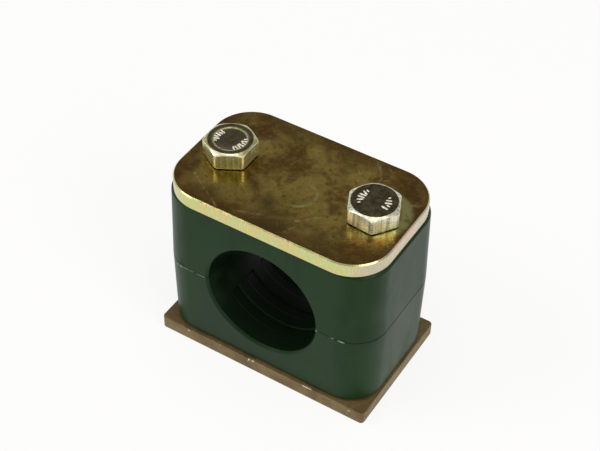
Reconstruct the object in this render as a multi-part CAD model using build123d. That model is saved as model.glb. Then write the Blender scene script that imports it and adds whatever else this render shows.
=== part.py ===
from build123d import *
import math
import os

# Hydraulic tube clamp for one 25.4 mm tube, light series with a weld plate.
# Units are millimetres.  +Z is up, the tube runs along Y, the long side is X.
# z = 0 is the underside of the weld plate, which is centred on x = y = 0.

# ---- driving dimensions -------------------------------------------------
TUBE_D = 25.4             # tube size that the ribs grip
BODY_W = 29.4             # plastic half at the joint, along Y

BORE_ROOF = 5.5           # plastic between the bore and the metal plate
BORE_WEB = 0.5            # plastic between the bore and a bolt hole
BODY_END = 8.45           # from a bolt's axis to the end of the half
BODY_CORNER = 7.6         # corner radius at the joint
DRAFT = 1.2               # mould draft, degrees, narrowing away from the joint
BODY_EDGE = 0.7           # broken edge beside the metal plate

MOUTH = 0.5               # flare where the bore opens on a face
GROOVE_DEPTH = 0.4        # relief between two grip ribs
GROOVE_W = 2.7
GROOVE_PITCH = 5.4
GROOVE_COUNT = 4
GROOVE_END = 2.2          # the reliefs stop this far inside the bore width

PLATE_OVER_X = 0.05       # weld plate beyond the halves, each end
PLATE_OVER_Y = 0.3        # and each side
PLATE_T = 3.0             # weld plate thickness
PLATE_CORNER = 0.9        # sheared corner, slightly rounded

COVER_IN_X = 0.7          # cover plate short of the halves, each end
COVER_OVER_Y = 0.2        # cover plate beyond the halves, each side
COVER_T = 3.0
COVER_CORNER = 8.5
COVER_EDGE = 0.25         # rolled-over upper edge of the stamping

BOLT_D = 6.0              # thread size, coarse pitch 1 mm
BOLT_SHORT = 2.4          # bolt's end above the weld plate's underside
HEAD_AF = 10.0            # across flats
HEAD_H = 4.0
HEAD_FLAT = 0.95          # flat top's width as a share of the flats
HEAD_CONE = 30.0          # chamfer on the head, degrees
HEAD_TURN_L = 30.0        # how far each head is turned about its own axis
HEAD_TURN_R = 55.0

BOLT_ROOM = 0.6           # a clearance hole is this much wider than the bolt
RUN_GAP = 0.04            # running gap between the bolt and its nut
NUT_WALL = 2.7            # collar of the weld nut around the thread
NUT_H = 3.5               # collar above the weld plate
POCKET_GAP = 0.5          # room around and above the collar in each half

# ---- sizes that follow --------------------------------------------------
BORE_R = TUBE_D / 2
CLEAR_D = BOLT_D + BOLT_ROOM
BOLT_X = BORE_R + BORE_WEB + CLEAR_D / 2       # each bolt's distance from x = 0
BODY_L = 2 * (BOLT_X + BODY_END)
HALF_H = BORE_R + BORE_ROOF
PLATE_L = BODY_L + 2 * PLATE_OVER_X
PLATE_W = BODY_W + 2 * PLATE_OVER_Y
COVER_L = BODY_L - 2 * COVER_IN_X
COVER_W = BODY_W + 2 * COVER_OVER_Y
JOINT_Z = PLATE_T + HALF_H                     # joint plane and tube axis
COVER_Z = JOINT_Z + HALF_H                     # underside of the cover plate
HEAD_Z = COVER_Z + COVER_T                     # seat of the bolt heads
BOLT_LEN = HEAD_Z - BOLT_SHORT                 # under the head
BOLT_R = BOLT_D / 2 - RUN_GAP / 2
NUT_R = BOLT_D / 2 + RUN_GAP / 2
COLLAR_R = BOLT_D / 2 + NUT_WALL
POCKET_R = COLLAR_R + POCKET_GAP
POCKET_H = NUT_H + POCKET_GAP
CAP = 1.0                                      # run-out of cutting tools


def pair_of(shape):
    """The same cutter at both bolt places."""
    return Pos(-BOLT_X, 0, 0) * shape + Pos(BOLT_X, 0, 0) * shape


def upright(radius, z_low, z_high):
    """Round bar along Z between two heights."""
    bar = Cylinder(radius, z_high - z_low)
    return Pos(0, 0, (z_low + z_high) / 2) * bar


def rounded_slab(length, width, corner, z_low, thick):
    """Flat plate with rounded corners standing on z_low."""
    outline = RectangleRounded(length, width, corner)
    return Pos(0, 0, z_low) * extrude(outline, thick)


def rim(shape, z):
    """Edges of the outline that lie at one height."""
    return shape.edges().filter_by_position(Axis.Z, z - 1e-4, z + 1e-4)


# ---- metal plates -------------------------------------------------------
def make_weld_plate():
    slab = rounded_slab(PLATE_L, PLATE_W, PLATE_CORNER, 0, PLATE_T)
    hole = upright(CLEAR_D / 2, -CAP, PLATE_T + CAP)
    return slab - pair_of(hole)


def make_cover_plate():
    slab = rounded_slab(COVER_L, COVER_W, COVER_CORNER, COVER_Z, COVER_T)
    slab = chamfer(rim(slab, HEAD_Z), COVER_EDGE)
    hole = upright(CLEAR_D / 2, COVER_Z - CAP, HEAD_Z + CAP)
    return slab - pair_of(hole)


# ---- plastic halves -----------------------------------------------------
def half_block():
    """Drafted block above the joint; the joint face lies on z = 0."""
    outline = RectangleRounded(BODY_L, BODY_W, BODY_CORNER)
    block = extrude(outline, HALF_H, taper=DRAFT)
    return chamfer(rim(block, HALF_H), BODY_EDGE)


def bore_cut():
    """Half of the tube bore with its two flared mouths."""
    bar = Rot(90, 0, 0) * Cylinder(BORE_R, BODY_W + 2 * CAP)
    return bar + mouth_cut(1) + mouth_cut(-1)


def mouth_cut(side):
    """Flared ring, leaning with the drafted face that it opens on."""
    wide = BORE_R + MOUTH
    outline = Polyline((0, -MOUTH), (BORE_R, -MOUTH), (wide, 0), (wide, CAP),
                       (0, CAP), close=True)
    ring = revolve(make_face(outline), Axis.Y, 360)
    ring = Pos(0, BODY_W / 2, 0) * (Rot(DRAFT, 0, 0) * ring)
    return ring if side > 0 else mirror(ring, Plane.XZ)


def groove_cuts():
    """Reliefs between the grip ribs, open towards the joint for moulding."""
    reach = BORE_R - GROOVE_END
    first = -(GROOVE_COUNT - 1) / 2 * GROOVE_PITCH
    cuts = None
    for i in range(GROOVE_COUNT):
        disc = Rot(90, 0, 0) * Cylinder(BORE_R + GROOVE_DEPTH, GROOVE_W)
        disc = disc & Box(2 * reach, 2 * GROOVE_W, 4 * BORE_R)
        disc = Pos(0, first + i * GROOVE_PITCH, 0) * disc
        cuts = disc if cuts is None else cuts + disc
    return cuts


def make_half():
    """One half as moulded, joint face down on z = 0."""
    block = half_block() - bore_cut()
    block = block - groove_cuts()
    hole = upright(CLEAR_D / 2, -CAP, HALF_H + CAP)
    pocket = upright(POCKET_R, HALF_H - POCKET_H, HALF_H + CAP)
    return block - pair_of(hole) - pair_of(pocket)


# ---- fasteners ----------------------------------------------------------
def make_weld_nut():
    """Round threaded collar that is welded onto the weld plate."""
    top = PLATE_T + NUT_H
    collar = upright(COLLAR_R, PLATE_T, top)
    return collar - upright(NUT_R, 0, top + CAP)


def make_bolt(turn):
    """Hexagon bolt whose head has its upper corners coned off."""
    corner_r = HEAD_AF / math.sqrt(3)
    outline = Rot(0, 0, turn) * RegularPolygon(corner_r, 6)
    head = extrude(outline, HEAD_H)
    flat_r = HEAD_AF / 2 * HEAD_FLAT
    wide_r = flat_r + HEAD_AF / 2
    drop = (wide_r - flat_r) * math.tan(math.radians(HEAD_CONE))
    trim = Pos(0, 0, HEAD_H - drop / 2) * Cone(wide_r, flat_r, drop)
    trim = trim + upright(wide_r, 0, HEAD_H - drop)
    return Pos(0, 0, HEAD_Z) * ((head & trim) + upright(BOLT_R, -BOLT_LEN, 0))


# ---- write every piece --------------------------------------------------
def main():
    os.makedirs("parts", exist_ok=True)
    half = make_half()
    nut = make_weld_nut()
    pieces = {
        "weld_plate": make_weld_plate(),
        "weld_nut_left": Pos(-BOLT_X, 0, 0) * nut,
        "weld_nut_right": Pos(BOLT_X, 0, 0) * nut,
        "lower_half": Pos(0, 0, JOINT_Z) * (Rot(180, 0, 0) * half),
        "upper_half": Pos(0, 0, JOINT_Z) * half,
        "cover_plate": make_cover_plate(),
        "bolt_left": Pos(-BOLT_X, 0, 0) * make_bolt(HEAD_TURN_L),
        "bolt_right": Pos(BOLT_X, 0, 0) * make_bolt(HEAD_TURN_R),
    }
    for name, shape in pieces.items():
        export_step(shape, f"parts/{name}.step")


main()
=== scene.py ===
import math
import random

import bmesh
import bpy
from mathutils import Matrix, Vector


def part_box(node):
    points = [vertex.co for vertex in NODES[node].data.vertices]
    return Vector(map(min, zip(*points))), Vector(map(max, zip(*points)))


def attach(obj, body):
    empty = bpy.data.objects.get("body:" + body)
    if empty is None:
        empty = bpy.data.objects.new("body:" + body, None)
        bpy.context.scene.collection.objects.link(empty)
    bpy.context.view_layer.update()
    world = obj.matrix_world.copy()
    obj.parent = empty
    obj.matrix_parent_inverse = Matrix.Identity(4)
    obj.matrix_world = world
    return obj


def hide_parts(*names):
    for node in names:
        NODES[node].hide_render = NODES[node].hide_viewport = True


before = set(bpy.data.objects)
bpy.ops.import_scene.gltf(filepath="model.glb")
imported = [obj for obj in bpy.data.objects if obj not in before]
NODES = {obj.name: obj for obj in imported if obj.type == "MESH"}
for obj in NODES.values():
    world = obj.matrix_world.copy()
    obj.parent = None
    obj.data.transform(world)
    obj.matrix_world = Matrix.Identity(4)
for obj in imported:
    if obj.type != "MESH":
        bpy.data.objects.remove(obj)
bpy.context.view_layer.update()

# Looks of a two-bolt tube clamp.  Shapes are in metres, in the part's frame.
# Node graphs, and the lists and values that say so, are in millimetres.
MM = 0.001
X_AXIS, Y_AXIS, Z_AXIS = (1, 0, 0), (0, 1, 0), (0, 0, 1)

# ---- sizes read from the frame -----------------------------------------------
PLATE_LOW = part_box("weld_plate")[0]
COVER_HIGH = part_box("cover_plate")[1]
LOWER_LOW, LOWER_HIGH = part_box("lower_half")
NUT_LOW, NUT_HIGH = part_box("weld_nut_right")
JOINT_Z = LOWER_HIGH.z
BORE_R = min(math.hypot(v.co.x, v.co.z - JOINT_Z) for v in NODES["lower_half"].data.vertices)
BOLT_X = (NUT_LOW.x + NUT_HIGH.x) / 2
BOLT_END, HEAD_TOP = (corner.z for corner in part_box("bolt_left"))
HEAD_SEAT = COVER_HIGH.z


def farthest(bolt, low_z, high_z):
    """Largest distance from a bolt's axis between two heights, and its place."""
    low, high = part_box(bolt)
    axis = (low + high) / 2
    axis.x = math.copysign(BOLT_X, axis.x)
    reach = [(math.hypot(v.co.x - axis.x, v.co.y), v.co.copy())
             for v in NODES[bolt].data.vertices if low_z < v.co.z < high_z]
    return max(reach, key=lambda item: item[0])


SHANK_R = farthest("bolt_left", BOLT_END - MM, BOLT_END + MM)[0]
CORNER_R = farthest("bolt_left", HEAD_SEAT, HEAD_TOP)[0]
FLAT_R = CORNER_R * math.cos(math.radians(30))


# ---- node helpers --------------------------------------------------------------
class Graph:
    """Short calls for building one material.  Its lengths are in mm."""

    def __init__(self, name):
        self.material = bpy.data.materials.new(name)
        self.material.use_nodes = True
        self.nodes = self.material.node_tree.nodes
        self.links = self.material.node_tree.links
        self.shader = self.nodes["Principled BSDF"]
        coords = self.nodes.new("ShaderNodeTexCoord")
        scale = self.nodes.new("ShaderNodeVectorMath")
        scale.operation = "SCALE"
        scale.inputs["Scale"].default_value = 1 / MM
        self.links.new(coords.outputs["Object"], scale.inputs[0])
        self.place = scale.outputs[0]          # place on the part
        parts = self.nodes.new("ShaderNodeSeparateXYZ")
        self.links.new(self.place, parts.inputs[0])
        self.x, self.y, self.z = parts.outputs

    def put(self, socket, value):
        """Links a node's output to a socket, or sets a plain value on it."""
        if isinstance(value, bpy.types.NodeSocket):
            self.links.new(value, socket)
        else:
            socket.default_value = value

    def math(self, kind, a, b=0.0, clamp=False):
        node = self.nodes.new("ShaderNodeMath")
        node.operation = kind
        node.use_clamp = clamp
        self.put(node.inputs[0], a)
        self.put(node.inputs[1], b)
        return node.outputs[0]

    def plus(self, a, b):
        return self.math("ADD", a, b)

    def minus(self, a, b):
        return self.math("SUBTRACT", a, b)

    def times(self, a, b):
        return self.math("MULTIPLY", a, b)

    def length(self, a, b):
        """Length of a step of a one way and b across it."""
        return self.math("SQRT", self.plus(self.times(a, a), self.times(b, b)))

    def vector(self, kind, a, b):
        node = self.nodes.new("ShaderNodeVectorMath")
        node.operation = kind
        self.put(node.inputs[0], a)
        self.put(node.inputs[1], b)
        return node.outputs["Value" if kind == "DOT_PRODUCT" else "Vector"]

    def noise(self, scale, detail=3.0, rough=0.55, warp=0.0, stretch=(1, 1, 1)):
        """Noise of so many blobs per millimetre."""
        node = self.nodes.new("ShaderNodeTexNoise")
        self.put(node.inputs["Vector"], self.vector("MULTIPLY", self.place, stretch))
        node.inputs["Scale"].default_value = scale
        node.inputs["Detail"].default_value = detail
        node.inputs["Roughness"].default_value = rough
        node.inputs["Distortion"].default_value = warp
        return node.outputs["Fac"]

    def streaks(self, dimensions, socket, place, detail):
        """Noise of one or two dimensions, at a place that the caller works out."""
        node = self.nodes.new("ShaderNodeTexNoise")
        node.noise_dimensions = dimensions
        self.put(node.inputs[socket], place)
        node.inputs["Scale"].default_value = 1.0
        node.inputs["Detail"].default_value = detail
        return node.outputs["Fac"]

    def ramp(self, value, low, high, out_low=0.0, out_high=1.0):
        """Smooth step from out_low at low to out_high at high."""
        node = self.nodes.new("ShaderNodeMapRange")
        node.interpolation_type = "SMOOTHSTEP"
        self.put(node.inputs["Value"], value)
        for name, number in (("From Min", low), ("From Max", high),
                             ("To Min", out_low), ("To Max", out_high)):
            node.inputs[name].default_value = number
        return node.outputs["Result"]

    def mix(self, share, a, b):
        node = self.nodes.new("ShaderNodeMix")
        node.data_type = "RGBA"
        self.put(node.inputs["Factor"], share)
        self.put(node.inputs["A"], rgba(a))
        self.put(node.inputs["B"], rgba(b))
        return node.outputs["Result"]

    def over(self, base, colour, value, low, high, share=1.0):
        """Lays a share of a colour over a base where a value goes from low to high."""
        return self.mix(self.ramp(value, low, high, 0.0, share), base, colour)

    def band(self, value, centre, width, soft):
        """One inside a band of a value, fading over soft at its borders."""
        off = self.math("ABSOLUTE", self.minus(value, centre))
        return self.ramp(off, width / 2, width / 2 + soft, 1.0, 0.0)

    def facing(self, axis):
        """One where the surface faces along an axis of the part, minus one against it."""
        geometry = self.nodes.new("ShaderNodeNewGeometry")
        return self.vector("DOT_PRODUCT", geometry.outputs["True Normal"], axis)

    def aligned(self, axis):
        """One where the surface faces along an axis, either way."""
        return self.math("ABSOLUTE", self.facing(axis))

    def bump(self, height, strength, depth):
        node = self.nodes.new("ShaderNodeBump")
        node.inputs["Strength"].default_value = strength
        node.inputs["Distance"].default_value = depth
        self.put(node.inputs["Height"], height)
        self.put(self.shader.inputs["Normal"], node.outputs["Normal"])

    def finish(self, colour, rough, metal, specular=0.5):
        self.put(self.shader.inputs["Base Color"], colour)
        self.put(self.shader.inputs["Roughness"], rough)
        self.put(self.shader.inputs["Metallic"], metal)
        self.shader.inputs["Specular IOR Level"].default_value = specular
        return self.material


def rgba(value):
    """Adds full alpha to a plain colour and leaves a socket as it is."""
    return (*value, 1.0) if isinstance(value, tuple) else value


# ---- cover plate: yellow chromated zinc ------------------------------------------
ZINC = {
    "smoke": (0.205, 0.112, 0.026), "gold": (0.440, 0.325, 0.082), "olive": (0.26, 0.24, 0.055),
    "brown": (0.150, 0.086, 0.024), "straw": (0.52, 0.39, 0.12), "umber": (0.140, 0.078, 0.022),
    "speck": (0.60, 0.47, 0.18), "rim": (0.130, 0.066, 0.019), "front": (0.150, 0.085, 0.024),
    "hairline": (0.62, 0.49, 0.20), "scratch": (0.66, 0.53, 0.24),
    "smudge": (0.085, 0.066, 0.022), "ring": (0.52, 0.52, 0.21),
}
CUT_EDGE = {
    "green": (0.56, 0.60, 0.25), "gold": (0.66, 0.55, 0.22), "rose": (0.62, 0.46, 0.35),
    "grey": (0.52, 0.50, 0.34), "pink": (0.72, 0.48, 0.36), "sheared": (0.80, 0.78, 0.50),
    "chip_and_glint": (0.95, 0.93, 0.78),
}
# Wear and other marks on the cover plate, with places, radii and widths in mm on the part.
HAIRLINES = [             # angle in degrees, density, strength
    (33, 1.5, 0.40), (-52, 1.2, 0.40), (78, 1.1, 0.30), (8, 1.9, 0.25),
]
HAIRLINE_ALONG = 0.15     # how fast a hairline changes along its length
SCRATCHES = [             # from, to, width, strength
    ((-19.4, -8.6), (-10.4, -14.2), 0.12, 0.60),
    ((12.5, 10.2), (13.8, 5.0), 0.10, 0.35),
    ((3.4, -10.9), (8.6, -5.6), 0.14, 0.55),
    ((4.4, -13.2), (5.4, -11.0), 0.10, 0.75),
    ((-6.5, -13.2), (5.0, -9.4), 0.20, 0.30),
    ((-12.8, -6.2), (-9.5, -9.0), 0.06, 0.30),
    ((19.6, -7.5), (21.2, -4.5), 0.06, 0.30),
]
SMUDGES = [               # centre, radius, strength
    ((-2.2, -8.2), 1.6, 0.75), ((-7.5, -5.5), 0.8, 0.45), ((9.5, -9.5), 0.8, 0.50),
    ((1.5, -12.8), 3.4, 0.60), ((12.5, -12.0), 2.0, 0.45), ((-14.0, -11.5), 1.2, 0.50),
    ((-22.0, 2.0), 1.0, 0.45),
]
RINGS = [                 # centre, radius, width, strength
    ((1.4, -2.7), 3.4, 0.26, 0.80),
    ((16.4, 1.0), 6.0, 0.90, 0.80),
]
SCRATCH_FADE = 1.8        # soft border of a scratch, in widths
SCRATCH_LEAST = 0.15      # share of its strength where it fades
RING_FADE = 1.5           # soft border of a ring, in widths
RING_SIDE = (-1.0, 2.0)   # where it comes up, along X from its centre
SMUDGE_FADE = 4.0         # soft border of a smudge, in mm
SMUDGE_RAGGED = 3.0       # how far its border wanders, in mm
FRONT_FADE = (-8.0, -14.0)    # where the top darkens towards the front, in mm


def offset(g, centre):
    """Step on a level face from one place."""
    return g.minus(g.x, centre[0]), g.minus(g.y, centre[1])


def stroke(g, start, end, width):
    """Mask of one straight scratch between two places on a level face."""
    dx, dy = end[0] - start[0], end[1] - start[1]
    length2 = dx * dx + dy * dy
    px, py = offset(g, start)
    along = g.math("ADD", g.times(px, dx / length2), g.times(py, dy / length2), clamp=True)
    off = g.length(g.minus(px, g.times(along, dx)), g.minus(py, g.times(along, dy)))
    return g.ramp(off, width / 2, width / 2 + width * SCRATCH_FADE, 1.0, 0.0)


def hairlines(g, angle, count, share):
    """Sparse fine scratches that run along one angle of the top."""
    cos, sin = math.cos(math.radians(angle)), math.sin(math.radians(angle))
    joined = g.nodes.new("ShaderNodeCombineXYZ")
    along = g.plus(g.times(g.x, cos), g.times(g.y, sin))
    across = g.minus(g.times(g.y, cos), g.times(g.x, sin))
    g.put(joined.inputs["X"], g.times(along, HAIRLINE_ALONG))
    g.put(joined.inputs["Y"], g.times(across, count))
    lines = g.streaks("2D", "Vector", joined.outputs[0], 2.0)
    fade = g.ramp(g.noise(0.16, 3.0, 0.6, 0.5), 0.46, 0.62)
    return g.times(fade, g.ramp(lines, 0.66, 0.74, 0.0, share))


def zinc_mottle(g, speck):
    """Clouds of smoke and gold, then finer blots and specks."""
    fine = g.noise(0.9, 5.0, 0.72)
    cloud = g.noise(0.085, 5.0, 0.62, 0.6)
    top = g.mix(g.ramp(cloud, 0.40, 0.58), ZINC["smoke"], ZINC["gold"])
    top = g.over(top, ZINC["olive"], g.noise(0.12, 4.0, 0.6, 1.0), 0.54, 0.66, 0.45)
    top = g.over(top, ZINC["brown"], g.noise(0.10, 3.0, 0.6, 0.4), 0.44, 0.34, 0.7)
    top = g.over(top, ZINC["straw"], fine, 0.50, 0.72, 0.50)
    top = g.over(top, ZINC["umber"], fine, 0.47, 0.32, 0.70)
    return g.over(top, ZINC["speck"], speck, 0.60, 0.74, 0.45)


def darker_rim(g, top):
    """Darkens the top towards its rim, and a little more towards the front."""
    border = g.math("MAXIMUM", g.math("DIVIDE", g.math("ABSOLUTE", g.x), COVER_HIGH.x / MM),
                    g.math("DIVIDE", g.math("ABSOLUTE", g.y), COVER_HIGH.y / MM))
    top = g.over(top, ZINC["rim"], border, 0.66, 1.0, 0.68)
    return g.over(top, ZINC["front"], g.y, *FRONT_FADE, 0.35)


def add_scratches(g, top):
    """Hairlines, then single scratches that fade in places."""
    for angle, count, share in HAIRLINES:
        top = g.mix(hairlines(g, angle, count, share), top, ZINC["hairline"])
    for start, end, width, share in SCRATCHES:
        fade = g.ramp(g.noise(0.9, 2.0), 0.38, 0.62, SCRATCH_LEAST * share, share)
        top = g.mix(g.times(stroke(g, start, end, width), fade), top, ZINC["scratch"])
    return top


def add_smudges_and_rings(g, top):
    """Dark smudges, and rings that show on their +X side."""
    for centre, radius, share in SMUDGES:
        ragged = g.times(g.noise(0.35, 3.0), SMUDGE_RAGGED)
        reach = g.plus(g.length(*offset(g, centre)), ragged)
        top = g.mix(g.ramp(reach, radius, radius + SMUDGE_FADE, share, 0.0), top, ZINC["smudge"])
    for centre, radius, width, share in RINGS:
        side = g.ramp(g.x, centre[0] + RING_SIDE[0], centre[0] + RING_SIDE[1], 0.0, share)
        fade = g.times(side, g.ramp(g.noise(0.35, 3.0), 0.36, 0.52, 0.35, 1.0))
        ring = g.band(g.length(*offset(g, centre)), radius, width, width * RING_FADE)
        top = g.mix(g.times(ring, fade), top, ZINC["ring"])
    return top


def chromate_edge(g):
    """Pale sheared edge: green gold on the long sides, rosy on the ends."""
    patches = g.ramp(g.noise(0.20, 3.0, 0.6, 0.6), 0.40, 0.62)
    long_side = g.mix(patches, CUT_EDGE["green"], CUT_EDGE["gold"])
    end = g.mix(patches, CUT_EDGE["rose"], CUT_EDGE["grey"])
    edge = g.mix(g.ramp(g.aligned(X_AXIS), 0.25, 0.85), long_side, end)
    edge = g.over(edge, CUT_EDGE["pink"], g.noise(0.15, 2.0), 0.54, 0.66, 0.55)
    sheared = g.noise(1.4, 3.0, 0.6, 0.0, (3.0, 3.0, 0.5))
    edge = g.over(edge, CUT_EDGE["sheared"], sheared, 0.50, 0.72, 0.32)
    # white specks on the cut edge: partly chips and partly painted glints on the burr
    return g.over(edge, CUT_EDGE["chip_and_glint"], g.noise(1.3, 4.0, 0.8), 0.67, 0.72)


def cover_metal():
    """Yellow chromated zinc: smoky mottle on top, pale on the cut edge."""
    g = Graph("yellow_zinc_plate")
    speck = g.noise(3.2, 4.0, 0.75)
    top = darker_rim(g, zinc_mottle(g, speck))
    top = add_smudges_and_rings(g, add_scratches(g, top))
    colour = g.mix(g.ramp(g.aligned(Z_AXIS), 0.75, 0.97), chromate_edge(g), top)
    rough = g.ramp(g.noise(0.5, 4.0, 0.7), 0.3, 0.7, 0.14, 0.30)
    metal = g.ramp(g.aligned(Z_AXIS), 0.75, 0.97, 0.75, 1.0)
    g.bump(g.plus(g.noise(0.8, 4.0, 0.6), g.times(speck, 0.35)), 0.14, 0.11 * MM)
    return g.finish(colour, rough, metal)


# ---- bolts and nuts: metals --------------------------------------------------------
BOLT = {
    "green": (0.58, 0.70, 0.50), "rose": (0.62, 0.46, 0.32), "dusty_top": (0.17, 0.145, 0.085),
    "shank_dark": (0.46, 0.40, 0.20), "shank_pale": (0.68, 0.62, 0.38),
    "edge_dark": (0.62, 0.57, 0.36), "edge_pale": (0.88, 0.86, 0.70),
    # mark colours: painted highlight on the raised bars
    "mark_dark": (0.70, 0.71, 0.56), "mark_pale": (0.95, 0.95, 0.84),
}
SEAT_FADE = 0.1           # mm either side of the seat, from head to shank
NUT = {"dark": (0.30, 0.26, 0.19), "pale": (0.50, 0.46, 0.36), "stain": (0.17, 0.12, 0.07)}


def bolt_metal(look):
    """Chromated hexagon bolt: painted dark reflection on the top, with dust over it, brushed sides,
    plainer shank.
    """
    g = Graph(look["metal"])
    brush = g.noise(0.9, 3.0, 0.6, 0.0, (2.0, 2.0, 0.08))
    cloud = g.noise(0.45, 3.0, 0.6, 0.8)
    side = g.mix(g.ramp(brush, 0.40, 0.60), look["side_dark"], look["side_pale"])
    side = g.over(side, BOLT["green"], cloud, 0.52, 0.66, 0.5)
    side = g.over(side, BOLT["rose"], cloud, 0.44, 0.32, 0.35)
    shank = g.mix(g.ramp(cloud, 0.4, 0.6), BOLT["shank_dark"], BOLT["shank_pale"])
    seat = HEAD_SEAT / MM
    side = g.over(side, shank, g.z, seat + SEAT_FADE, seat - SEAT_FADE)
    # painted reflection: the level top gets a dark colour and more metal, standing in for the dark room
    # it mirrors
    face = g.over(look["top"], BOLT["dusty_top"], g.noise(0.9, 4.0, 0.7), 0.35, 0.68)
    level = g.ramp(g.facing(Z_AXIS), 0.93, 0.99)
    rough = g.ramp(g.noise(2.0, 4.0, 0.7), 0.3, 0.7, 0.18, 0.34)
    g.bump(g.plus(brush, g.times(g.noise(1.8, 3.0), 0.4)), 0.10, 0.1 * MM)
    return g.finish(g.mix(level, side, face), rough, g.ramp(level, 0.0, 1.0, 0.55, 0.95))


def edge_and_highlight_metal():
    """Bright metal of a bolt head: rubbed corners, edges bright from wear and painted highlight, and a
    painted highlight on the front of the cone.
    """
    g = Graph("rubbed_edge_and_highlight")
    colour = g.over(BOLT["edge_dark"], BOLT["edge_pale"], g.noise(1.3, 4.0, 0.7), 0.40, 0.62)
    return g.finish(colour, g.ramp(g.noise(2.0, 3.0), 0.3, 0.7, 0.2, 0.4), 0.6)


def mark_metal():
    """Raised bars on a bolt head, painted pale as a highlight on the bars."""
    g = Graph("raised_mark_highlight")
    colour = g.over(BOLT["mark_dark"], BOLT["mark_pale"], g.noise(2.0, 3.0), 0.4, 0.6)
    return g.finish(colour, 0.25, 0.2)


def nut_metal():
    """Turned steel of the weld nuts, with fine level grooves and stains."""
    g = Graph("turned_steel")
    turned = g.noise(1.2, 3.0, 0.6, 0.0, (0.5, 0.5, 9.0))
    colour = g.over(NUT["dark"], NUT["pale"], turned, 0.35, 0.65)
    colour = g.over(colour, NUT["stain"], g.noise(0.7, 4.0), 0.55, 0.72, 0.6)
    g.bump(turned, 0.25, 0.08 * MM)
    return g.finish(colour, g.ramp(turned, 0.3, 0.7, 0.26, 0.42), 1.0)


# ---- green plastic -----------------------------------------------------------------
GREEN = {
    "deep": (0.0066, 0.0262, 0.0062), "mid": (0.0100, 0.0350, 0.0086), "dusty": (0.026, 0.056, 0.024),
    "worn": (0.055, 0.085, 0.045), "bore": (0.0030, 0.0100, 0.0034), "joint_shade": (0.002, 0.005, 0.002),
    "knit": (0.032, 0.058, 0.030), "flash_dark": (0.06, 0.13, 0.07), "flash_pale": (0.30, 0.40, 0.29),
}
PLASTIC_SPECULAR = 0.13   # low, because the pale floor shows in the plastic's gloss
BORE_FADE = (0.5, 0.8)    # mm outside the bore, where its shade ends
SEAM = (0.08, 0.12)       # width and soft border of the joint's line, in mm
END_SEAM = (0.42, 0.14)   # the same on the two ends
END_SEAM_DROP = 0.16      # mm from the joint to the middle of the wide line
KNIT_SLANT = (0.62, 0.78)     # direction across the knit lines, along Y and Z
KNIT_DENSITY = 0.10


def inside_bore(g):
    """One on the bore's wall, which the light hardly reaches; it carries painted shade."""
    reach = g.length(g.x, g.minus(g.z, JOINT_Z / MM))
    radius = BORE_R / MM
    wall = g.ramp(g.aligned(Y_AXIS), 0.4, 0.8, 1.0, 0.0)
    return g.times(wall, g.ramp(reach, radius + BORE_FADE[0], radius + BORE_FADE[1], 1.0, 0.0))


def joint_gap_shade(g, ends):
    """Painted shade of the gap along the joint: a dark ragged line, wider and lower on the two ends."""
    joint = JOINT_Z / MM
    line = g.band(g.z, joint, *SEAM)
    wide = g.times(g.band(g.z, joint - END_SEAM_DROP, *END_SEAM), ends)
    ragged = g.ramp(g.noise(1.3, 3.0, 0.7), 0.36, 0.62, 1.0, 0.55)
    upright = g.ramp(g.aligned(Z_AXIS), 0.80, 0.95, 1.0, 0.0)
    return g.times(g.math("MAXIMUM", line, wide), g.times(ragged, upright))


def knit_lines(g):
    """A few faint slanting flow lines."""
    slant = g.plus(g.times(g.y, KNIT_SLANT[0]), g.times(g.z, KNIT_SLANT[1]))
    lines = g.streaks("1D", "W", g.times(slant, KNIT_DENSITY), 1.0)
    fade = g.ramp(g.noise(0.12, 3.0), 0.42, 0.62)
    return g.times(fade, g.ramp(lines, 0.50, 0.64, 0.0, 0.30))


def green_plastic():
    """Moulded dark green polypropylene, semi-matt with flow marks."""
    g = Graph("green_polypropylene")
    flow = g.noise(0.10, 3.0, 0.6, 1.2, (1.0, 1.0, 0.45))
    skin = g.noise(0.9, 4.0, 0.65)
    ends = g.ramp(g.aligned(X_AXIS), 0.7, 0.95)
    colour = g.over(GREEN["deep"], GREEN["mid"], flow, 0.36, 0.66)
    colour = g.over(colour, GREEN["dusty"], skin, 0.60, 0.78, 0.30)
    colour = g.over(colour, GREEN["worn"], g.noise(1.9, 5.0, 0.75), 0.67, 0.78, 0.5)
    # painted shade on the bore's wall
    colour = g.mix(inside_bore(g), colour, GREEN["bore"])
    # painted shade in the gap between the two halves
    colour = g.mix(joint_gap_shade(g, ends), colour, GREEN["joint_shade"])
    colour = g.mix(g.times(ends, knit_lines(g)), colour, GREEN["knit"])
    rough = g.ramp(g.plus(g.times(skin, 0.2), g.times(flow, 0.8)), 0.3, 0.7, 0.32, 0.44)
    g.bump(g.plus(g.times(skin, 0.4), flow), 0.06, 0.20 * MM)
    return g.finish(colour, rough, 0.0, PLASTIC_SPECULAR)


def flash_plastic():
    """Thin plastic that lets the light through and so looks paler."""
    g = Graph("plastic_flash")
    colour = g.over(GREEN["flash_dark"], GREEN["flash_pale"], g.noise(3.0, 3.0), 0.4, 0.65)
    return g.finish(colour, 0.5, 0.0)


# ---- weld plate: brown rolled steel --------------------------------------------------
STEEL = {
    "brown": (0.135, 0.088, 0.033), "tan": (0.215, 0.152, 0.062), "dust": (0.300, 0.230, 0.110),
    "pit": (0.062, 0.040, 0.017), "nick_and_highlight": (0.90, 0.78, 0.58),
}
# Bright marks on the long front edge, partly nicks and partly painted highlight of the edge: from, to
# along it and height, in mm.
NICKS_AND_HIGHLIGHTS = [(10.6, 12.6, 2.95), (-1.9, -1.4, 2.9), (-18.2, -17.8, 2.6), (21.5, 21.9, 2.2)]
EDGE_MARK_HEIGHT = 0.14
EDGE_MARK_ENDS = 0.15          # soft ends of a nick
EDGE_MARK_FADE = 0.12          # soft border above and below it
EDGE_MARK_DEPTH = (0.5, 0.2)   # how far behind the front face a nick ends


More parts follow.
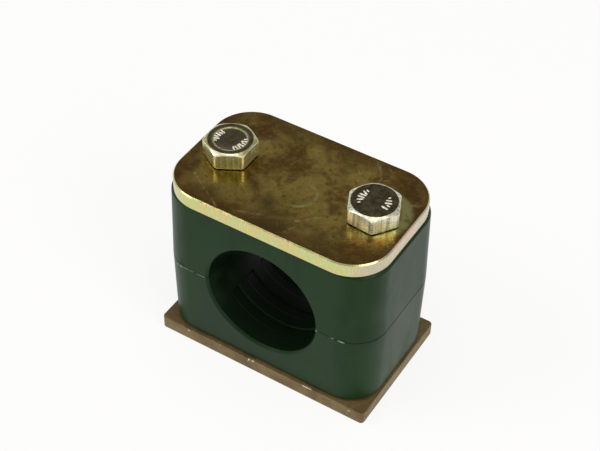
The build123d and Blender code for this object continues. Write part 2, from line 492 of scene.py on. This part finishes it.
def nicks_and_highlights(g, fine):
    """Scattered nicks, and single bright marks on the front edge that are partly nicks and partly
    painted highlight.
    """
    bright_marks = g.ramp(g.noise(0.55, 4.0, 0.80, 0.5), 0.685, 0.72)
    face = PLATE_LOW.y / MM
    front = g.ramp(g.y, face + EDGE_MARK_DEPTH[0], face + EDGE_MARK_DEPTH[1])
    ragged = g.ramp(fine, 0.35, 0.5, 0.5, 1.0)
    for start, end, rise in NICKS_AND_HIGHLIGHTS:
        along = g.band(g.x, (start + end) / 2, end - start, EDGE_MARK_ENDS)
        spot = g.times(along, g.band(g.z, rise, EDGE_MARK_HEIGHT, EDGE_MARK_FADE))
        bright_marks = g.math("MAXIMUM", bright_marks, g.times(g.times(spot, front), ragged))
    return bright_marks


def weld_plate_metal():
    """Brown phosphated plate with bright nicks and painted edge highlights, more of them on its sides.
    """
    g = Graph("brown_rolled_steel")
    cloud = g.noise(0.14, 4.0, 0.65, 0.6)
    fine = g.noise(1.7, 5.0, 0.72)
    colour = g.over(STEEL["brown"], STEEL["tan"], cloud, 0.36, 0.64)
    colour = g.over(colour, STEEL["dust"], fine, 0.52, 0.72, 0.6)
    colour = g.over(colour, STEEL["pit"], fine, 0.45, 0.28, 0.6)
    sides = g.ramp(g.aligned(Z_AXIS), 0.4, 0.8, 0.9, 0.25)
    colour = g.mix(g.times(nicks_and_highlights(g, fine), sides), colour, STEEL["nick_and_highlight"])
    g.bump(g.plus(fine, g.times(cloud, 0.8)), 0.25, 0.12 * MM)
    return g.finish(colour, g.ramp(fine, 0.3, 0.7, 0.42, 0.62), g.ramp(fine, 0.3, 0.7, 0.35, 0.65))


# ---- mesh helpers ----------------------------------------------------------------------
SAME_PLACE = 1e-7         # points closer than this are one
NO_SIZE = 1e-8            # edges shorter than this are dropped
SHARP = 28                # degrees from which an edge is shaded sharp
SOFT_SHARP = 19           # the same on softened pieces
ROUNDED = 35              # degrees from which soften rounds an edge
LEVEL = 0.5               # degrees up to which soften joins faces
SOFT_PLASTIC = 0.14 * MM  # rounding of the moulded edges
SOFT_STEEL = 0.12 * MM    # rounding of the weld plate's edges


def new_piece(name, bm, materials, body, sharp=SHARP):
    """Turns a bmesh into a smooth-shaded piece that rides on a body."""
    bmesh.ops.remove_doubles(bm, verts=bm.verts, dist=SAME_PLACE)
    bmesh.ops.dissolve_degenerate(bm, dist=NO_SIZE, edges=bm.edges)
    bmesh.ops.recalc_face_normals(bm, faces=bm.faces)
    mesh = bpy.data.meshes.new(name)
    bm.to_mesh(mesh)
    bm.free()
    for material in materials:
        mesh.materials.append(material)
    mesh.shade_smooth()
    mesh.set_sharp_from_angle(angle=math.radians(sharp))
    piece = bpy.data.objects.new(name, mesh)
    bpy.context.scene.collection.objects.link(piece)
    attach(piece, body)
    return piece


def skin_rings(bm, rings, material=lambda row, column: 0):
    """Closed bands of quads between rings of equal length."""
    for row, (low, high) in enumerate(zip(rings, rings[1:])):
        for i in range(len(low)):
            j = (i + 1) % len(low)
            bm.faces.new((low[i], low[j], high[j], high[i])).material_index = material(row, i)


def close_fan(bm, hub, ring):
    """Triangles from one point to a ring."""
    for i, vert in enumerate(ring):
        bm.faces.new((hub, vert, ring[(i + 1) % len(ring)]))


def even_normals(piece):
    """Weights the normals by area, so flat faces stay flat beside a rounding."""
    piece.modifiers.new("even", "WEIGHTED_NORMAL").keep_sharp = True
    depsgraph = bpy.context.evaluated_depsgraph_get()
    piece.data = bpy.data.meshes.new_from_object(piece.evaluated_get(depsgraph))
    piece.modifiers.clear()


def soften(node, material, body, size):
    """Copy of a node whose sharp edges are rounded by a small radius."""
    bm = bmesh.new()
    bm.from_mesh(NODES[node].data)
    bmesh.ops.remove_doubles(bm, verts=bm.verts, dist=SAME_PLACE)
    bmesh.ops.dissolve_limit(bm, angle_limit=math.radians(LEVEL), verts=bm.verts, edges=bm.edges)
    sharp = [edge for edge in bm.edges if len(edge.link_faces) == 2
             and edge.calc_face_angle(0) > math.radians(ROUNDED)]
    bmesh.ops.bevel(bm, geom=sharp, offset=size, offset_type="OFFSET", segments=2,
                    profile=0.5, affect="EDGES", clamp_overlap=False)
    piece = new_piece(node + "_soft", bm, [material], body, sharp=SOFT_SHARP)
    even_normals(piece)
    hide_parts(node)


# ---- bolt heads ------------------------------------------------------------------------
METAL, MARK, RUBBED_AND_HIGHLIGHT = range(3)     # a bolt's material slots
HEAD_STEP = 2.5           # degrees between points round a head
CORNER_HALF = 1.01 * HEAD_STEP     # half the width of a rubbed corner
CONE = math.tan(math.radians(30))
EDGE = 0.16 * MM          # rounding of the head's edges
CORNER_CUT = 0.17 * MM    # how much the hexagon's corners are blunted
WASHER_H = 0.24 * MM      # plain foot under the hexagon
WASHER_R = FLAT_R * 0.93
SEAT_GAP = 0.01 * MM      # keeps the foot off the cover plate
NECK_R = SHANK_R * 0.99   # the head ends just inside the shank
RIM_R = FLAT_R * 0.95     # where the top turns down into the cone
RIM_CURVE = [(0.3, 0), (0.12, 0.01), (0, 0.06)]    # in from the rim, below the top, in mm
# Middle of a head's top: distance from its axis and depth below its top, in mm.
DISHED_TOP = [(0, 0.30), (1.4, 0.30), (1.75, 0.28), (2.1, 0.23),
              (3.3, 0.17), (3.55, 0.07), (3.8, 0), (4.0, 0.01)]
PLAIN_TOP = [(0, 0.06), (1.2, 0.06), (2.2, 0.06), (3.0, 0.06),
             (3.4, 0.055), (3.8, 0.05), (4.0, 0.04), (4.2, 0.02)]
# Roundings: how far in from the side and above the edge, in shares of EDGE.
SHOULDER_CURVE = [(0.8, 0.42), (0.18, -0.1), (0, -0.7)]
FOOT_CURVE = [(0, 1), (0.3, 0.3), (1, 0)]
# What each row of faces of a head is, from the middle of its top to the shank.
HEAD_ROWS = ["top"] * 8 + ["cone"] * 2 + ["edge"] * 2 + ["side"] + ["edge"] * 2 + ["under"] * 3

# Plain raised bars: angle round the head, distance out, slant, length, width.
LEFT_BARS = [
    (157, 2.90, 8, 1.40, 0.39), (169, 2.75, 14, 1.06, 0.37), (181, 2.90, -6, 1.46, 0.41),
    (194, 2.95, 10, 0.95, 0.37), (206, 2.85, 0, 1.40, 0.39), (218, 3.05, -10, 0.67, 0.34),
    (-43, 2.85, 4, 1.34, 0.37), (-31, 2.85, 10, 1.40, 0.39), (-19, 2.85, -8, 1.46, 0.39),
    (-7, 2.85, 4, 1.51, 0.41), (6, 2.95, -14, 1.06, 0.37), (18, 2.85, 4, 1.40, 0.39),
    (31, 3.05, 0, 0.78, 0.34),
]
RIGHT_BARS = [
    (146, 2.95, 8, 0.78, 0.37), (160, 2.75, -8, 1.40, 0.42), (175, 2.70, 10, 1.46, 0.44),
    (190, 2.75, -4, 1.51, 0.42), (205, 2.80, 8, 1.34, 0.42), (220, 3.05, 0, 0.67, 0.37),
    (-16, 2.70, 6, 1.62, 0.46), (1, 2.95, -4, 0.84, 0.37), (15, 2.70, 6, 1.51, 0.46),
    (31, 2.75, -8, 1.23, 0.40), (46, 3.00, 0, 0.62, 0.35),
]
BAR_POINTS = 12           # round a bar's outline
BAR_BLUNT = 0.6           # below 1, the outline nears a rectangle
BAR_STEPS = [(0, 0), (0.65, 0.03), (1.0, 0.08)]    # share of the height, inset in mm
BAR_NARROW = 0.8          # share of the inset across a bar

LOOKS = {
    "left": {
        "metal": "left_bolt_zinc", "side_dark": (0.32, 0.30, 0.105),
        # top: painted dark reflection on the head's level top
        "side_pale": (0.46, 0.44, 0.20), "top": (0.100, 0.088, 0.048),
        "middle": DISHED_TOP, "painted_highlight_arc": (-112, -38), "bars": LEFT_BARS,
        "bar_foot": HEAD_TOP - 0.23 * MM, "bar_height": 0.15 * MM,
    },
    "right": {
        "metal": "right_bolt_zinc", "side_dark": (0.42, 0.41, 0.29),
        # top: painted dark reflection on the head's level top
        "side_pale": (0.76, 0.80, 0.66), "top": (0.070, 0.056, 0.030),
        "middle": PLAIN_TOP, "painted_highlight_arc": (-105, -15), "bars": RIGHT_BARS,
        "bar_foot": HEAD_TOP - 0.09 * MM, "bar_height": 0.088 * MM,
    },
}


def on_circle(centre_x, reach, angle, z):
    """Place at a distance and an angle, in radians, round a bolt's axis."""
    return centre_x + reach * math.cos(angle), reach * math.sin(angle), z


def from_corner(angle):
    """Degrees between a direction and the nearest corner of the hexagon."""
    return abs((angle + 30) % 60 - 30)


def in_arc(angle, arc):
    """True between the two ends of an arc, in degrees."""
    return (angle - arc[0]) % 360 < arc[1] - arc[0]


def hex_reach(angle):
    """Distance to the hexagon's side, with its corners a little blunted."""
    sharp = FLAT_R / math.cos(math.radians(30 - from_corner(angle)))
    start = CORNER_R - CORNER_CUT - EDGE
    if sharp <= start:
        return sharp
    return start + EDGE * math.tanh((sharp - start) / EDGE)


def head_profile(angle, middle):
    """Outline of the head in one direction, from its centre to the shank."""
    side = hex_reach(angle)
    shoulder = HEAD_TOP - RIM_CURVE[-1][1] * MM - (side - RIM_R) * CONE
    foot = HEAD_SEAT + WASHER_H
    under = HEAD_SEAT + SEAT_GAP
    points = [(reach * MM, HEAD_TOP - depth * MM) for reach, depth in middle]
    points += [(RIM_R - inward * MM, HEAD_TOP - depth * MM) for inward, depth in RIM_CURVE]
    points += [(side - EDGE * inward, shoulder + EDGE * rise) for inward, rise in SHOULDER_CURVE]
    points += [(side - EDGE * inward, foot + EDGE * rise) for inward, rise in FOOT_CURVE]
    return points + [(WASHER_R, foot), (WASHER_R, under), (NECK_R, under)]


def add_head(bm, centre_x, turn, look):
    """Hexagon head, with rubbed corners, edges bright from wear and painted highlight, and a painted
    highlight on part of its cone.
    """
    angles = [i * HEAD_STEP for i in range(int(360 / HEAD_STEP))]
    columns = [head_profile(angle, look["middle"]) for angle in angles]
    rings = []
    for level in range(1, len(columns[0])):
        places = [on_circle(centre_x, column[level][0], math.radians(turn + angle), column[level][1])
                  for angle, column in zip(angles, columns)]
        rings.append([bm.verts.new(place) for place in places])

    def material(row, column):
        kind = HEAD_ROWS[row]
        angle = angles[column]
        corner = from_corner(angle + HEAD_STEP / 2) < CORNER_HALF
        bright = in_arc(turn + angle, look["painted_highlight_arc"])
        # the edge rows and the arc of the cone get the bright metal as painted highlight; the side
        # corners get it as wear
        rubbed_and_lit = kind == "edge" or (kind == "side" and corner) or (kind == "cone" and bright)
        return RUBBED_AND_HIGHLIGHT if rubbed_and_lit else METAL

    close_fan(bm, bm.verts.new((centre_x, 0, columns[0][0][1])), rings[0])
    skin_rings(bm, rings, material)


def add_bar(bm, centre_x, look, bar):
    """One raised mark on a head: a low bar with sloping sides."""
    angle, reach, slant, length, width = bar
    a, b = math.radians(angle), math.radians(angle) + math.radians(slant)
    centre = Vector(on_circle(centre_x, reach * MM, a, look["bar_foot"]))
    along = Vector((math.cos(b), math.sin(b), 0))
    across = Vector((-along.y, along.x, 0))
    rows = []
    for share, inset in BAR_STEPS:
        lift = Vector((0, 0, look["bar_height"] * share))
        row = []
        for i in range(BAR_POINTS):
            cos, sin = math.cos(2 * math.pi * i / BAR_POINTS), math.sin(2 * math.pi * i / BAR_POINTS)
            u = math.copysign(abs(cos) ** BAR_BLUNT, cos) * (length / 2 - inset) * MM
            v = math.copysign(abs(sin) ** BAR_BLUNT, sin) * (width / 2 - inset * BAR_NARROW) * MM
            row.append(bm.verts.new(centre + along * u + across * v + lift))
        rows.append(row)
    skin_rings(bm, rows, lambda row, column: MARK)
    bm.faces.new(rows[-1]).material_index = MARK


# ---- bolt threads ------------------------------------------------------------------------
THREAD_PITCH = 1.0 * MM
THREAD_DEPTH = 0.52 * MM
THREAD_STEPS = 6          # points along one pitch
THREAD_SIDES = 40         # points round the shank
ROOT_SHARE = 0.12         # flat of the root, as a share of half the pitch
FLANK_SHARE = 0.74        # slope from root to crest, in the same share
PLAIN_LENGTH = 1.2 * MM   # shank without thread under the head
RUN_OUT = 0.8 * MM        # over which the thread gains its depth
TIP = 0.8 * MM            # chamfer of the point


def thread_reach(phase, z):
    """Radius of the thread at a phase of its pitch and a height."""
    wave = abs((phase % 1.0) * 2 - 1)                 # 1 at a crest, 0 at a root
    depth = THREAD_DEPTH * (1 - min(1.0, max(0.0, (wave - ROOT_SHARE) / FLANK_SHARE)))
    cut = min(1.0, max(0.0, (HEAD_SEAT - PLAIN_LENGTH - z) / RUN_OUT))
    tip = max(0.0, BOLT_END + TIP - z)
    return min(SHANK_R - depth * cut, SHANK_R - tip)


def add_thread(bm, centre_x):
    """Helical skin whose rows follow the thread, with a flat end."""
    rows = int((HEAD_SEAT - BOLT_END) / THREAD_PITCH + 1) * THREAD_STEPS
    angles = [2 * math.pi * i / THREAD_SIDES for i in range(THREAD_SIDES)]
    grid = {}
    for j in range(-THREAD_STEPS, rows + 1):
        for i, angle in enumerate(angles):
            z = HEAD_SEAT - THREAD_PITCH * (j / THREAD_STEPS + i / THREAD_SIDES)
            z = min(HEAD_SEAT, max(BOLT_END, z))
            reach = thread_reach(j / THREAD_STEPS, z)
            grid[i, j] = bm.verts.new(on_circle(centre_x, reach, angle, z))
    for j in range(-THREAD_STEPS, rows):
        for i in range(THREAD_SIDES):
            last = i == THREAD_SIDES - 1
            beside, step = (0, THREAD_STEPS) if last else (i + 1, 0)
            corners = [(i, j), (beside, j + step), (beside, j + 1 + step), (i, j + 1)]
            if all(corner in grid for corner in corners):
                bm.faces.new([grid[corner] for corner in corners])
    hub = bm.verts.new((centre_x, 0, BOLT_END))
    close_fan(bm, hub, [bm.verts.new(on_circle(centre_x, SHANK_R - TIP, angle, BOLT_END))
                        for angle in angles])


def make_bolt(side, marks, edges):
    """Bolt with bars on its head and a real thread, in place of the plain one."""
    look = LOOKS[side]
    node = "bolt_" + side
    corner = farthest(node, HEAD_SEAT, HEAD_TOP)[1]
    centre_x = math.copysign(BOLT_X, corner.x)
    turn = math.degrees(math.atan2(corner.y, corner.x - centre_x))
    bm = bmesh.new()
    add_head(bm, centre_x, turn, look)
    add_thread(bm, centre_x)
    for bar in look["bars"]:
        add_bar(bm, centre_x, look, bar)
    piece = new_piece(node + "_threaded", bm, [bolt_metal(look), marks, edges], node)
    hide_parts(node)


# ---- moulding flash on the joint -----------------------------------------------------------
# Stretches of flash on the front of the joint: from, to and reach in mm, seed.
FLASH = [(-20.6, -16.2, 0.07, 3), (-15.6, -13.3, 0.05, 4), (12.95, 13.5, 0.28, 7),
         (16.2, 17.3, 0.16, 5), (18.0, 19.6, 0.14, 8)]
FLASH_STEP = 0.12         # mm between its points
FLASH_WAVE = 0.11         # mm that it may rise or fall in one step
FLASH_HOLD = 0.6          # share of its height that it keeps from step to step
FLASH_SHARE = (0.3, 1.0)  # least and most of its reach
FLASH_HALF = 0.03 * MM    # half its thickness
FLASH_ROOT = 0.30 * MM    # how far it starts behind the face


def make_flash(material):
    """Thin ragged skin that rides with the lower half."""
    bm = bmesh.new()
    root_y = LOWER_LOW.y + FLASH_ROOT
    for start, end, reach, seed in FLASH:
        rng = random.Random(seed)
        steps = max(4, int((end - start) / FLASH_STEP))
        rows = []
        lift = 0
        for i in range(steps + 1):
            x = (start + (end - start) * i / steps) * MM
            fade = min(1.0, i / 2, (steps - i) / 2)
            lip_y = LOWER_LOW.y - reach * MM * fade * rng.uniform(*FLASH_SHARE)
            lift = FLASH_HOLD * lift + rng.uniform(-FLASH_WAVE, FLASH_WAVE) * MM
            low, high = JOINT_Z - FLASH_HALF, JOINT_Z + FLASH_HALF
            rows.append([bm.verts.new((x, root_y, low)), bm.verts.new((x, lip_y, low + lift * fade)),
                         bm.verts.new((x, lip_y, high + lift * fade)), bm.verts.new((x, root_y, high))])
        skin_rings(bm, rows)
        bm.faces.new(rows[0])
        bm.faces.new(rows[-1])
    new_piece("joint_flash", bm, [material], "base")


# ---- stage, lamps and camera -----------------------------------------------------------------
SENSOR_MM = 36
LENS_MM = 84.81
VIEW_AZIMUTH = 31.10
VIEW_ELEVATION = 43.46
VIEW_ROLL = 1.29
VIEW_DISTANCE = 0.2823
VIEW_TARGET = Vector((0, 0, 0.035))
VIEW_SHIFT = -0.02363     # share of the picture's width
VIEW_NEAR = 0.01
LAMPS = [                 # name, place, size, power, colour
    ("lamp_over", (0.05, -0.05, 0.95), 0.70, 2.6, (1.0, 1.0, 1.0)),
    ("lamp_left", (-0.55, -0.40, 0.60), 0.45, 2.4, (1.0, 0.97, 0.90)),
    ("lamp_right", (0.60, -0.20, 0.52), 0.45, 2.4, (1.0, 0.95, 0.82)),
]
ROOM = [(0.02, (0.95, 0.95, 0.94, 1)), (0.50, (0.30, 0.29, 0.28, 1))]   # height, colour
FLOOR_PALE = (0.92, 0.92, 0.91)
FLOOR_PALER = (0.94, 0.94, 0.935)
FLOOR_R = 1.6
FLOOR_SIDES = 96
FLOOR_GAP = 0.02 * MM     # keeps the floor off the weld plate
WHITE_SHARE = 0.84        # how much of the floor's look is plain white


def make_camera():
    """Camera whose place and lens were matched to the photo's outlines."""
    azimuth, elevation, roll = (math.radians(v) for v in (VIEW_AZIMUTH, VIEW_ELEVATION, VIEW_ROLL))
    level = math.cos(elevation)
    back = Vector((math.sin(azimuth) * level, -math.cos(azimuth) * level, math.sin(elevation)))
    right = Vector((math.cos(azimuth), math.sin(azimuth), 0))
    up = back.cross(right)
    data = bpy.data.cameras.new("view")
    camera = bpy.data.objects.new("view", data)
    bpy.context.scene.collection.objects.link(camera)
    matrix = camera.matrix_world.to_3x3()
    matrix.col[0] = right * math.cos(roll) + up * math.sin(roll)
    matrix.col[1] = up * math.cos(roll) - right * math.sin(roll)
    matrix.col[2] = back
    camera.matrix_world = matrix.to_4x4()
    camera.location = VIEW_TARGET + back * VIEW_DISTANCE
    data.sensor_width = SENSOR_MM
    data.lens = LENS_MM
    data.shift_y = VIEW_SHIFT
    data.clip_start = VIEW_NEAR
    bpy.context.scene.camera = camera


def make_lamp(name, place, size, power, colour):
    """Square lamp that is aimed at the part."""
    data = bpy.data.lights.new(name, "AREA")
    data.shape = "SQUARE"
    data.size = size
    data.energy = power
    data.color = colour
    lamp = bpy.data.objects.new(name, data)
    bpy.context.scene.collection.objects.link(lamp)
    lamp.location = place
    aim = VIEW_TARGET - Vector(place)
    lamp.rotation_euler = aim.to_track_quat("-Z", "Y").to_euler()


def make_world():
    """Pale at the horizon and dimmer overhead, like a room round a table."""
    world = bpy.data.worlds.new("room")
    bpy.context.scene.world = world
    world.use_nodes = True
    nodes, links = world.node_tree.nodes, world.node_tree.links
    coords = nodes.new("ShaderNodeTexCoord")
    parts = nodes.new("ShaderNodeSeparateXYZ")
    links.new(coords.outputs["Generated"], parts.inputs[0])
    ramp = nodes.new("ShaderNodeValToRGB")
    links.new(parts.outputs["Z"], ramp.inputs["Fac"])
    for element, (height, colour) in zip(ramp.color_ramp.elements, ROOM):
        element.position = height
        element.color = colour
    links.new(ramp.outputs["Color"], nodes["Background"].inputs["Color"])


def floor_material():
    """Pale diffuse floor that camera, mirror and glass rays see as nearly white."""
    g = Graph("pale_floor")
    g.finish(g.mix(g.noise(0.02, 2.0), FLOOR_PALE, FLOOR_PALER), 0.9, 0.0, 0.1)
    path = g.nodes.new("ShaderNodeLightPath")
    mirrored = g.math("MAXIMUM", path.outputs["Is Glossy Ray"], path.outputs["Is Transmission Ray"])
    seen = g.math("MAXIMUM", path.outputs["Is Camera Ray"], mirrored)
    glow = g.nodes.new("ShaderNodeEmission")
    g.put(glow.inputs["Strength"], 1.0)
    blend = g.nodes.new("ShaderNodeMixShader")
    g.put(blend.inputs[0], g.times(seen, WHITE_SHARE))
    g.links.new(g.shader.outputs[0], blend.inputs[1])
    g.links.new(glow.outputs[0], blend.inputs[2])
    g.links.new(blend.outputs[0], g.nodes["Material Output"].inputs["Surface"])
    return g.material


def make_floor():
    """Round floor just under the part."""
    bm = bmesh.new()
    bmesh.ops.create_circle(bm, cap_ends=True, segments=FLOOR_SIDES, radius=FLOOR_R)
    mesh = bpy.data.meshes.new("floor")
    bm.to_mesh(mesh)
    bm.free()
    floor = bpy.data.objects.new("floor", mesh)
    bpy.context.scene.collection.objects.link(floor)
    floor.location.z = PLATE_LOW.z - FLOOR_GAP
    mesh.materials.append(floor_material())


# ---- build -------------------------------------------------------------------------------------
def dress(node, material):
    """Puts a material on a node whose shape stays as it is."""
    NODES[node].data.materials.clear()
    NODES[node].data.materials.append(material)


def main():
    bpy.context.scene.view_settings.view_transform = "Standard"
    make_camera()
    make_world()
    make_floor()
    for lamp in LAMPS:
        make_lamp(*lamp)
    plastic = green_plastic()
    soften("lower_half", plastic, "base", SOFT_PLASTIC)
    soften("upper_half", plastic, "upper_half", SOFT_PLASTIC)
    dress("cover_plate", cover_metal())
    soften("weld_plate", weld_plate_metal(), "base", SOFT_STEEL)
    nut = nut_metal()
    dress("weld_nut_left", nut)
    dress("weld_nut_right", nut)
    marks, edges = mark_metal(), edge_and_highlight_metal()
    make_bolt("left", marks, edges)
    make_bolt("right", marks, edges)
    make_flash(flash_plastic())


main()
bpy.context.view_layer.update()
